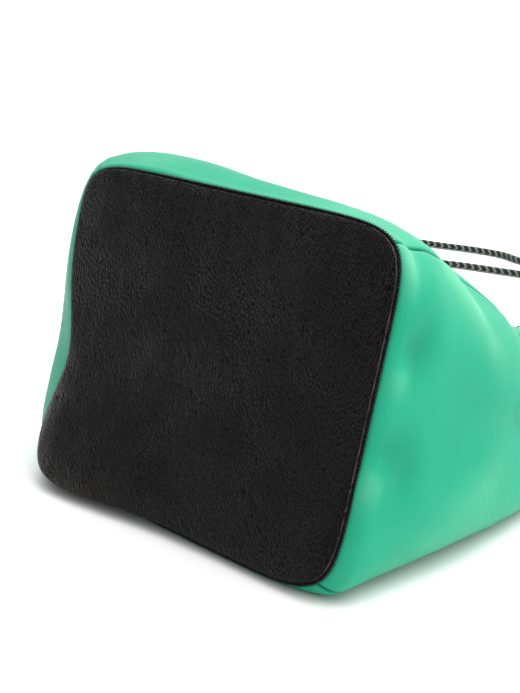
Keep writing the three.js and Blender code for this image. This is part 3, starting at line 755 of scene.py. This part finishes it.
def painted_light_and_shade(s, v):
    """Painted light and shade: painted highlights on ridges, puffs and towards the floor, painted shade in
    dents and along the seams.
    """
    per_s, per_v = wall_scale(s, v)
    painted_light = np.zeros(s.shape)
    for side, share, at_v, half_s, half_v, turn, depth in DENTS + PAINTED_HIGHLIGHT_PATCHES:
        across, along = turned((s - side - share) * per_s, (v - at_v) * per_v, turn)
        painted_light += depth / (3.4 if depth > 0 else 4.6) * bell(across / half_s) * bell(along / half_v)
    # Painted shade in the grooves of the seams, round the corners and along the base.
    seam = np.minimum(np.abs(s - np.round(s)) * per_s, v * WALL_LENGTH + 0.4)
    return painted_light * (0.85 + 0.3 * coherent(section_point(s, v), 16, 6.1)) - 1.6 * bell(seam / 0.9)


def hole_cells(s, v, patches, around=False):
    """Which cells of the grid (s, v) are kept: those with no corner in the hole of a patch."""
    inside = np.zeros(s.shape, bool)
    wall = section_point(s, v)
    for patch in patches:
        away = wall - section_point(patch["s"], patch["v"])
        away -= (away @ patch["normal"])[..., None] * patch["normal"]
        inside |= np.linalg.norm(away, axis=-1) < EYELET["barrel"]
    after = np.roll(inside, -1, axis=1) if around else inside[:, 1:]
    inside = inside[:, :after.shape[1]] | after
    return ~(inside[:-1] | inside[1:])


def make_panels(material):
    """The four panels; the grid is closer by the base and by the seams."""
    names = {BOTTOM: "bottom", RIGHT: "right", TOP: "top", LEFT: "left"}
    rows = np.concatenate([np.linspace(0, 0.06, 26, endpoint=False), np.linspace(0.06, 1, PANEL_ROWS)])
    edge = np.array([0, 0.0025, 0.005, 0.008, 0.012, 0.018, 0.026, 0.036])
    share = np.concatenate([edge, np.linspace(0.045, 0.955, PANEL_COLUMNS), 1 - edge[::-1]])
    share = SEAM + (1 - 2 * SEAM) * share
    for side, word in names.items():
        s, v = np.meshgrid(side + share, rows)
        lift = relief(s, v)
        outer = body_point(s, v, lift)
        inner = body_point(s, v, np.minimum(lift, 0) - LEATHER)
        outer[..., 2] = np.maximum(outer[..., 2], 0.0)
        inner[..., 2] = np.maximum(inner[..., 2], FLOOR_THICK)
        patches = [p for p in DRAW_PATCHES + list(STRAP_PATCHES.values()) if math.floor(p["s"]) == side]
        mesh = shell_mesh(f"{word}_leather", outer, inner, keep=hole_cells(s, v, patches),
                          painted_light=painted_light_and_shade(s, v))
        add_piece(f"{word}_leather", mesh, material, replaces=[f"{word}_panel"])


# ---- Inside ----

LINING_OUTER, LINING_INNER = LEATHER + 1.8, LEATHER + 2.6  # the cloth's faces, in from the wall's outer face


def make_lining(material):
    """A slack sack of cloth, closed at the base."""
    rows = np.concatenate([np.linspace(0.011, 0.1, 14, endpoint=False), np.linspace(0.1, LINING_END, 80)])
    s, v = np.meshgrid(np.arange(180) / 45, rows)
    wall = section_point(s, v)
    slack = 0.9 * (1 + coherent(wall, 26, 5.5)) + 0.3 * (1 + coherent(wall, 8, 2.2))
    slack *= np.clip((v - 0.02) / 0.1, 0, 1) * np.clip((LINING_END - v) / 0.06, 0, 1)
    slack -= np.minimum(relief(s, v), 0)
    outer = body_point(s, v, -LINING_OUTER - slack)
    middle = outer[0].mean(axis=0)
    shrink = np.linspace(0, 1, 12, endpoint=False)[:, None, None]
    end = middle + (outer[0][None] - middle) * shrink
    outer = np.concatenate([end, outer])
    inner = np.concatenate([end + (0, 0.8, 0.1), body_point(s, v, -LINING_INNER - slack)])
    add_piece("lining_sack", shell_mesh("lining_sack", outer, inner, around=True), material,
              replaces=["lining"])


def make_facing(material):
    """The band of leather inside the mouth."""
    rows = np.linspace(FACING_START, 0.997, 34)
    s, v = np.meshgrid(np.arange(360) / 90, rows)
    lift = np.minimum(relief(s, v), 0)
    outer = body_point(s, v, lift - LEATHER - GAP)
    inner = body_point(s, v, lift - 2 * LEATHER - GAP)
    keep = hole_cells(s, v, DRAW_PATCHES, around=True)
    mesh = shell_mesh("mouth_facing_band", outer, inner, around=True, keep=keep)
    add_piece("mouth_facing_band", mesh, material, replaces=["mouth_facing"])


EYELET_FRONT, EYELET_BACK = 0.9, -5.0  # where the rolled rims start, off the wall's outer face
RIM_FRONT, RIM_BACK = 1.1, 1.0  # how far the rims stand out from there
EYELET_SIDES = 56


def make_eyelets(material):
    """Rolled grommets that follow the wall."""
    bore, barrel, flange = EYELET["bore"], EYELET["barrel"], EYELET["flange"]
    mid = (bore + flange) / 2
    half = (flange - bore) / 2
    t = np.linspace(0, math.pi, 13)
    outside = [(mid - half * math.cos(a), EYELET_FRONT + RIM_FRONT * math.sin(a)) for a in t]
    inside = [(mid + half * math.cos(a), EYELET_BACK - RIM_BACK * math.sin(a)) for a in t]
    profile = outside + [(barrel, EYELET_FRONT), (barrel, EYELET_BACK)] + inside
    angle = np.arange(EYELET_SIDES) * 2 * math.pi / EYELET_SIDES
    named = [(f"draw_eyelet_{i + 1}", p) for i, p in enumerate(DRAW_PATCHES)]
    named += [(f"strap_eyelet_{hand}", p) for hand, p in STRAP_PATCHES.items()]
    for name, patch in named:
        points = np.concatenate([patch["point"](r, angle, np.full_like(angle, off)) for r, off in profile])
        mesh = make_mesh(name, points, ring_faces(len(profile), len(angle), True)[:, ::-1], 50)
        add_piece(f"{name}_ring", mesh, material, replaces=[name])


# ---- Base ----

BASE_LEAN = math.radians(16)
BASE_NORMAL = np.array([0, -math.cos(BASE_LEAN), math.sin(BASE_LEAN)])
BASE_UP = np.array([0, math.sin(BASE_LEAN), math.cos(BASE_LEAN)])
BASE_HALF = SECTIONS[0][3] / 2
BASE_MIDDLE = np.array([0, SECTIONS[0][1], SECTIONS[0][2] + BASE_HALF * math.cos(BASE_LEAN)])
BINDING = 1.7  # width of the black band round the base leather
BASE_THICK = 1.5
BASE_BACK = 0.35  # the leather's back, off the body's own edge
PUFF = 3.0  # how far the leather's middle puffs out
PUFF_HALF_WIDE, PUFF_HALF_HIGH = 131, 98
EDGE_WIDTH, EDGE_RISE = 5.0, 1.2  # the rounded edge
SAG = 20  # how far the leather rolls out past the base at the lower left


def base_outline(s):
    """The body's edge at the base, at each s."""
    return section_point(s, 0)


def base_grid(a, b):
    """Maps the square -1..1 by -1..1 onto the base: s round it and the share m of the way out."""
    m = np.maximum(np.maximum(np.abs(a), np.abs(b)), 1e-6)
    qa, qb = a / m, b / m
    s = np.where(qb <= -1 + 1e-9, (qa + 1) / 2,
        np.where(qa >= 1 - 1e-9, 1 + (qb + 1) / 2,
        np.where(qb >= 1 - 1e-9, 2 + (1 - qa) / 2, 3 + (1 - qb) / 2)))
    return s, m


def base_surface(a, b):
    """The base leather's face over the square -1..1 by -1..1: puffed, rolled at its edge, and sagging towards
    the floor at the lower left. Also the same points without any of that, and a painted sheen, 0..1, along
    the lower left roll."""
    s, m = base_grid(a, b)
    rim = base_outline(s)
    reach = np.linalg.norm(rim - BASE_MIDDLE, axis=-1)
    flat = BASE_MIDDLE + (rim - BASE_MIDDLE) * (m * (1 - BINDING / reach))[..., None]
    edge = (1 - m) * reach
    x = flat[..., 0]
    h = (flat - BASE_MIDDLE) @ BASE_UP + BASE_HALF
    puff = PUFF * (1 - np.abs(x / PUFF_HALF_WIDE) ** 5) * (1 - np.abs(h / PUFF_HALF_HIGH - 1) ** 5)
    rounded = np.sqrt(np.clip(1 - (1 - np.clip(edge / EDGE_WIDTH, 0, 1)) ** 2, 0, 1))
    wrinkle = 0.25 * coherent(flat * (1, 1, 0.4), 6, 4.4) + 0.6 * coherent(flat, 42, 8.1)
    wrinkle *= np.clip(edge / 8, 0, 1)
    lift = BASE_THICK + np.maximum(puff, 0) + EDGE_RISE * rounded + wrinkle
    points = flat + BASE_NORMAL * lift[..., None]
    left = (0.12 + 0.88 / (1 + np.exp((x + 25) / 26))) * (1 - 0.55 * bell((x + 128) / 21))
    low = bell(np.maximum(h - 4, 0) / 50) * (1 - np.exp(-np.maximum(edge, 0) / 4))
    points = points + np.array([0, -1, -0.2]) * (SAG * left * low)[..., None]
    points[..., 2] = np.maximum(points[..., 2], 0.3)
    # Painted sheen along the rolled lower left edge, where light off the floor would shine on the leather.
    painted_sheen = 0.8 * bell((h - 12) / 13) * left * np.clip(edge / 4, 0, 1) * (0.7 + 0.6 * coherent(flat, 12, 2.6))
    return points, flat, np.clip(painted_sheen, 0, 1)


def make_base(leather, cut_edge):
    """The base leather, with its cut edge, and the binding round it."""
    line = np.concatenate([-1 + 0.05 * np.linspace(0, 1, 16, endpoint=False) ** 1.5,
                           np.linspace(-0.95, 0.95, 170), 1 - 0.05 * np.linspace(1, 0, 17)[1:] ** 1.5])
    a, b = np.meshgrid(line, line)
    top, flat, painted_sheen = base_surface(a, b)
    mesh = shell_mesh("base_leather", top, flat + BASE_NORMAL * BASE_BACK, crease=50, painted_light=painted_sheen)
    add_piece("base_leather", mesh, leather, replaces=["base_panel"])
    mesh.materials.append(cut_edge)
    count = len(line) ** 2
    for polygon in mesh.polygons:
        sides = [k < count for k in polygon.vertices]
        if any(sides) and not all(sides):
            polygon.material_index = 1

    rim = base_outline(np.arange(720) / 180)
    out = rim - BASE_MIDDLE
    out /= np.linalg.norm(out, axis=1, keepdims=True)
    # The binding's section: out from the body's edge, and off the base.
    profile = [(-BINDING - 1.2, 0.0), (-BINDING - 1.0, 0.25), (-BINDING + 0.15, 0.5), (-1.2, 0.85),
               (-0.8, 0.95), (-0.4, 0.85), (0.05, 0.5), (0.15, 0.1), (-0.3, -0.1), (-BINDING, -0.1)]
    points = np.concatenate([rim + out * e + BASE_NORMAL * d for e, d in profile])
    mesh = make_mesh("base_binding", points, ring_faces(len(profile), len(rim), True), 60)
    add_piece("base_binding", mesh, leather)


def stitch_row(name, centres, ways, ups, length, radius, material):
    """Short thread stitches: an ellipsoid at each centre, long in its way."""
    rings, sides = 7, 8
    t = np.linspace(0, math.pi, rings)
    ways = ways / np.linalg.norm(ways, axis=1, keepdims=True)
    overs = np.cross(ways, ups)
    overs /= np.linalg.norm(overs, axis=1, keepdims=True)
    ups = np.cross(overs, ways)
    angle = np.arange(sides) * 2 * math.pi / sides
    ring = (ways[:, None, None] * (-np.cos(t) * length / 2)[None, :, None, None]
            + ups[:, None, None] * (np.sin(t)[:, None] ** 0.7 * np.cos(angle) * radius)[None, :, :, None]
            + overs[:, None, None] * (np.sin(t)[:, None] ** 0.7 * np.sin(angle) * radius)[None, :, :, None])
    points = centres[:, None, None] + ring
    faces = ring_faces(rings, sides, False)
    every = (faces[None] + (np.arange(len(centres)) * rings * sides)[:, None, None]).reshape(-1, 4)
    mesh = make_mesh(name, points.reshape(-1, 3), every)
    return add_piece(name, mesh, material)


STITCH_PITCH, STITCH_LENGTH, STITCH_RADIUS = 1.9, 1.8, 0.29


def make_base_stitches(material):
    """Thread stitches, evenly spaced over the seam round the base."""
    dense = np.linspace(0, 4, 8001)
    rim = base_outline(dense)
    lengths = np.concatenate([[0], np.cumsum(np.linalg.norm(np.diff(rim, axis=0), axis=1))])
    count = round(lengths[-1] / STITCH_PITCH)
    s = np.interp(np.arange(count) * lengths[-1] / count, lengths, dense)
    rim = base_outline(s)
    middle = rim.mean(axis=0)
    out = rim - middle
    out /= np.linalg.norm(out, axis=1, keepdims=True)
    wall = wall_axes(s, np.full_like(s, 0.004))
    way = out * 0.8 - BASE_NORMAL * 0.6
    centres = rim + out * 0.25 + BASE_NORMAL * 0.35
    stitch_row("base_stitches", centres, way, wall[2] + BASE_NORMAL, STITCH_LENGTH, STITCH_RADIUS, material)


# ---- Cord lock ----

def make_cord_lock(material):
    """The slider: a rounded block with two bores for the drawstring's tails."""
    wide, thick, long, corner, start, bore = 27, 12, 16, 5, 10, 3.55
    round_edge = 1.3

    def loop(points):
        spline = curve.splines.new("POLY")
        spline.points.add(len(points) - 1)
        for target, (x, y) in zip(spline.points, points):
            target.co = (x * MM, y * MM, 0, 1)
        spline.use_cyclic_u = True

    curve = bpy.data.curves.new("lock_outline", "CURVE")
    curve.dimensions, curve.fill_mode = "2D", "BOTH"
    curve.extrude = (long / 2 - round_edge) * MM
    curve.bevel_depth, curve.bevel_resolution = round_edge * MM, 4
    w, t, r = wide / 2 - round_edge, thick / 2 - round_edge, corner - round_edge
    quarter = np.linspace(0, math.pi / 2, 9)
    outline = []
    for k, (cx, cy) in enumerate(((w - r, t - r), (r - w, t - r), (r - w, r - t), (w - r, r - t))):
        outline += [(cx + r * math.cos(a + k * math.pi / 2), cy + r * math.sin(a + k * math.pi / 2))
                    for a in quarter]
    loop(outline)
    for x in (-TAIL_APART, TAIL_APART):
        radius = bore + round_edge * 0.2
        circle = np.linspace(0, 2 * math.pi, 32, endpoint=False)
        loop([(x + radius * math.cos(a), radius * math.sin(a)) for a in circle])
    holder = bpy.data.objects.new("lock_outline", curve)
    bpy.context.scene.collection.objects.link(holder)
    mesh = bpy.data.meshes.new_from_object(holder.evaluated_get(bpy.context.evaluated_depsgraph_get()))
    bpy.data.objects.remove(holder)
    turn = Vector((0, 0, 1)).rotation_difference(Vector(TAIL_WAY)).to_matrix().to_4x4()
    mesh.transform(Matrix.Translation(Vector(to_frame(tail_point(0, start + long / 2)))) @ turn)
    mesh.shade_smooth()
    mesh.set_sharp_from_angle(angle=math.radians(50))
    add_piece("cord_lock_slider", mesh, material, body="cord_lock", replaces=["cord_lock"])


# ---- Floor, light ----

def make_floor():
    mesh = bpy.data.meshes.new("floor")
    mesh.from_pydata([(-40, -40, 0), (40, -40, 0), (40, 40, 0), (-40, 40, 0)], [], [(0, 1, 2, 3)])
    floor = bpy.data.objects.new("floor", mesh)
    floor.location = (0, 0, -0.0003)
    bpy.context.scene.collection.objects.link(floor)
    m = Shader("floor", Specular_IOR_Level=0.2)
    mesh.materials.append(m.finish((0.93, 0.93, 0.93, 1), 0.7))


def make_light():
    """A bright even room that is darker behind the camera, and one soft lamp overhead."""
    world = bpy.data.worlds.new("room")
    bpy.context.scene.world = world
    world.use_nodes = True
    nodes, links = world.node_tree.nodes, world.node_tree.links
    way = nodes.new("ShaderNodeTexCoord").outputs["Generated"]
    dark = nodes.new("ShaderNodeVectorMath")
    dark.operation = "DOT_PRODUCT"
    links.new(way, dark.inputs[0])
    dark.inputs[1].default_value = Vector((-0.50, -0.86, 0.10)).normalized()
    fade = nodes.new("ShaderNodeMapRange")
    fade.interpolation_type = "SMOOTHSTEP"
    links.new(dark.outputs["Value"], fade.inputs[0])
    for k, value in enumerate((0.10, 0.80, 1.0, 0.05), start=1):
        fade.inputs[k].default_value = value
    height = nodes.new("ShaderNodeSeparateXYZ")
    links.new(way, height.inputs[0])
    zenith = nodes.new("ShaderNodeMapRange")
    links.new(height.outputs[2], zenith.inputs[0])
    for k, value in enumerate((0.0, 1.0, 0.80, 2.3), start=1):
        zenith.inputs[k].default_value = value
    both = nodes.new("ShaderNodeMath")
    both.operation = "MULTIPLY"
    links.new(fade.outputs[0], both.inputs[0])
    links.new(zenith.outputs[0], both.inputs[1])
    background = nodes["Background"]
    background.inputs[0].default_value = (1, 1, 1, 1)
    links.new(both.outputs[0], background.inputs[1])

    lamp = bpy.data.lights.new("overhead", "AREA")
    lamp.shape, lamp.size, lamp.size_y, lamp.energy = "RECTANGLE", 1.6, 1.6, 22
    holder = bpy.data.objects.new("overhead", lamp)
    bpy.context.scene.collection.objects.link(holder)
    holder.location = (0.3, 0.5, 1.9)
    holder.rotation_euler = (Vector((0, 0, 0.1)) - holder.location).to_track_quat("-Z", "Y").to_euler()


bpy.context.scene.view_settings.view_transform = "Standard"
make_camera()
make_cords()
green = green_leather()
black = black_leather()
make_panels(green)
make_facing(green)
make_lining(lining_cloth())
make_eyelets(gunmetal())
make_base(black, edge_leather())
make_base_stitches(thread("black_thread", srgb(10, 10, 11), srgb(34, 33, 34)))
make_cord_lock(black_leather("lock_leather"))
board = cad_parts["base_board"]
board.data.materials.clear()
board.data.materials.append(board_grey())
make_floor()
make_light()
